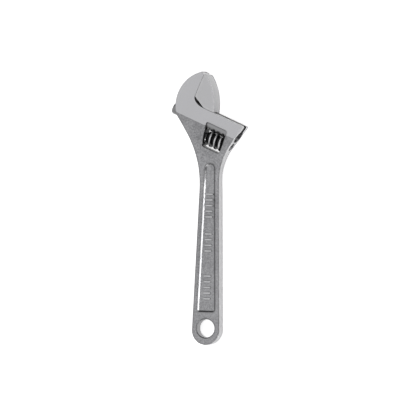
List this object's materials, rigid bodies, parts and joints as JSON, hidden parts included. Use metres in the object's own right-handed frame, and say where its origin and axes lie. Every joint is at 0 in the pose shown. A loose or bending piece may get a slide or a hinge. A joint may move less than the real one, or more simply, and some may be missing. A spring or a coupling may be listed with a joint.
{
  "type": "adjustable wrench",
  "caption": "Flat adjustable wrench with a recessed handle, a hang hole, and a sliding jaw driven by a thumb worm.",
  "frame": {"origin": "centre of the bounding box's lowest face, with the wrench lying flat on its head's lower face and the jaws closed", "axes": "+Y along the handle from the hang hole to the head, +Z through the thickness, +X towards the side the jaw opens to"},
  "size_m": [0.0424, 0.1492, 0.01],
  "materials": {
    "satin_plate": "satin nickel-chrome plate over a forging",
    "jaw_plate": "ground and plated, finer than the handle",
    "worm_plate": "bright plate on the thread",
    "pin_steel": "turned steel",
    "spring_steel": "drawn spring wire"
  },
  "bodies": {
    "body": {"body": "satin_plate", "worm_pin": "pin_steel", "worm_spring": "spring_steel"},
    "jaw": {"movable_jaw": "jaw_plate"},
    "worm": {"worm": "worm_plate"}
  },
  "joints": [
    {"name": "jaw_slide", "type": "slide", "parent": "body", "child": "jaw", "axis": [0.9239, -0.3827, 0], "range_m": [0, 0.019]},
    {"name": "worm_spin", "type": "hinge", "parent": "body", "child": "worm", "pos_m": [0.00475, 0.03762, 0.005], "axis": [-0.9239, 0.3827, 0], "range_deg": [0, 2280]}
  ],
  "couplings": [
    {"joint": "worm_spin", "follows": "jaw_slide", "rad_per_m": 2094.4}
  ]
}
